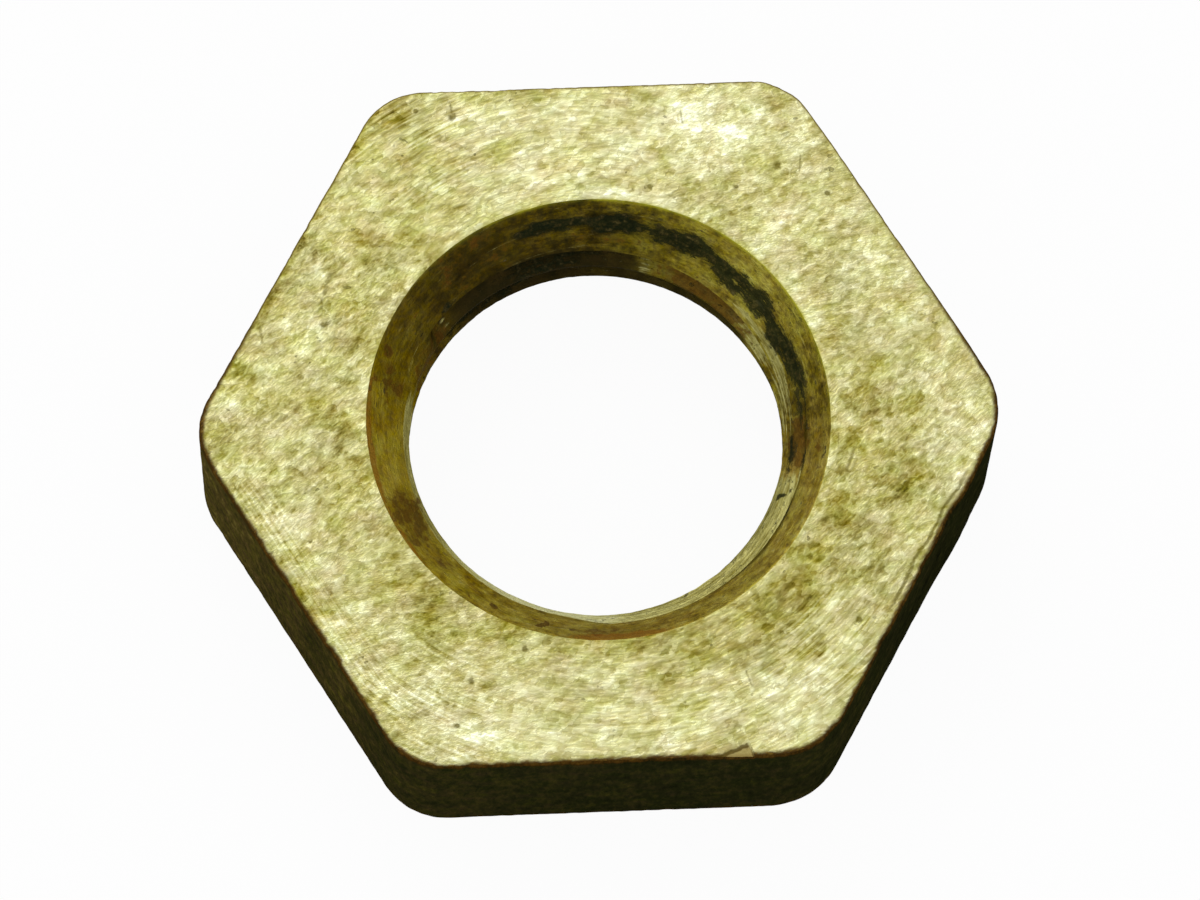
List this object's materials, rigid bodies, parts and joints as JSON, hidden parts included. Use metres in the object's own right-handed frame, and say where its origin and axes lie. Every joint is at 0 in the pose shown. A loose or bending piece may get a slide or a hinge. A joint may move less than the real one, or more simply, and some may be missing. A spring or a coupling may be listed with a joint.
{
  "type": "pipe lock nut",
  "caption": "Flat hexagonal brass lock nut for pipe, with round corners, a coarse pipe thread and a wide countersink at each mouth of the bore.",
  "frame": {"origin": "centre of the back face, on the axis of the bore", "axes": "+Z along the bore from the back face to the front face, +X to a corner of the hexagon, so that two wrench flats face -Y and +Y"},
  "size_m": [0.041, 0.0364, 0.0095],
  "materials": {
    "brass": "faces ground and scratched, sides dark as cast"
  },
  "bodies": {
    "root": {"lock_nut": "brass"}
  },
  "joints": []
}
